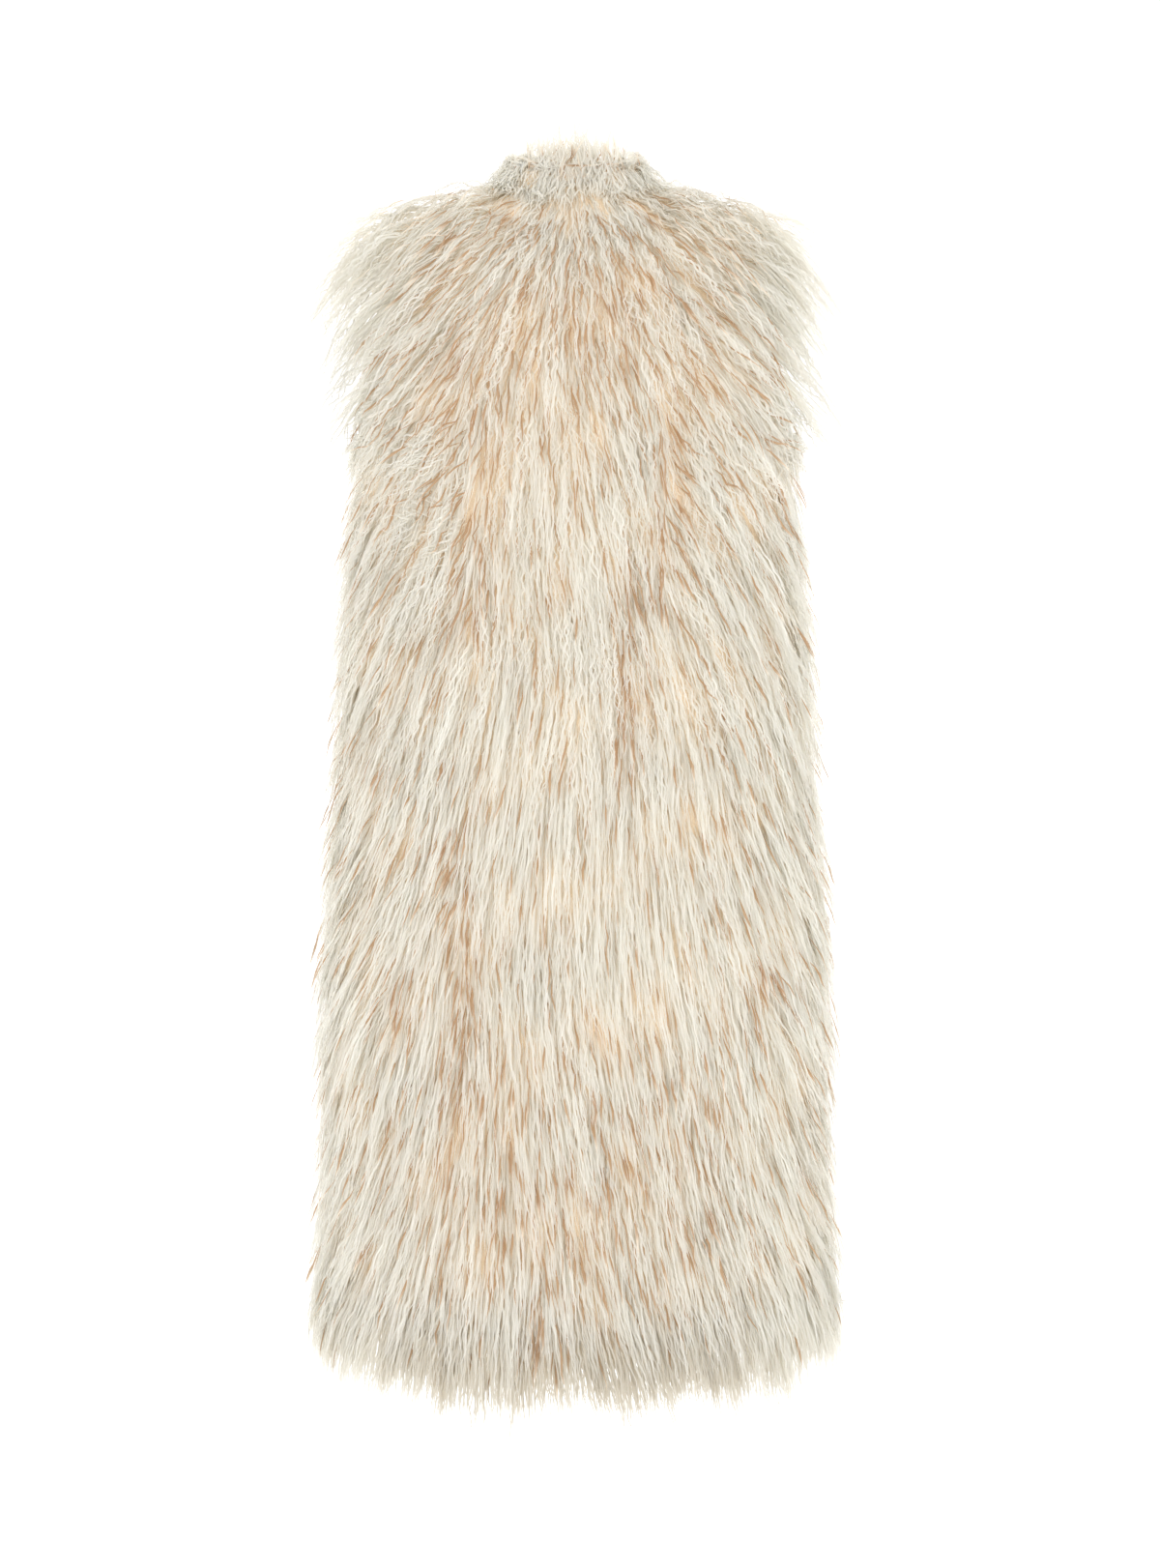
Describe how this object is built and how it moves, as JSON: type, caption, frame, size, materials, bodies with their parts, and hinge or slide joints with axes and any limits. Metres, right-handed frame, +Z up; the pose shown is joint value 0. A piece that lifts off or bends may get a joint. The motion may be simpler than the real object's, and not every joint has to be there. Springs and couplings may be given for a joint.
{
  "type": "long sleeveless fur coat",
  "caption": "Long sleeveless coat in shaggy cream long-pile fur, straight with a slight flare, short stand collar and open front, hollow as it hangs when worn.",
  "frame": {"origin": "the middle of the neck, level with the top of the shoulders that carry the coat", "axes": "+Z up, +Y the way the wearer faces, +X to the wearer's right; the back faces -Y"},
  "size_m": [0.483, 0.3547, 1.1503],
  "materials": {
    "cream_fur": "long shaggy cream pile on a knitted backing",
    "collar_fur": "the same pile, paler, brushed up"
  },
  "bodies": {
    "root": {"back_center": "cream_fur", "back_side_left": "cream_fur", "back_side_right": "cream_fur", "front_left": "cream_fur", "front_right": "cream_fur", "collar": "collar_fur"}
  },
  "joints": []
}
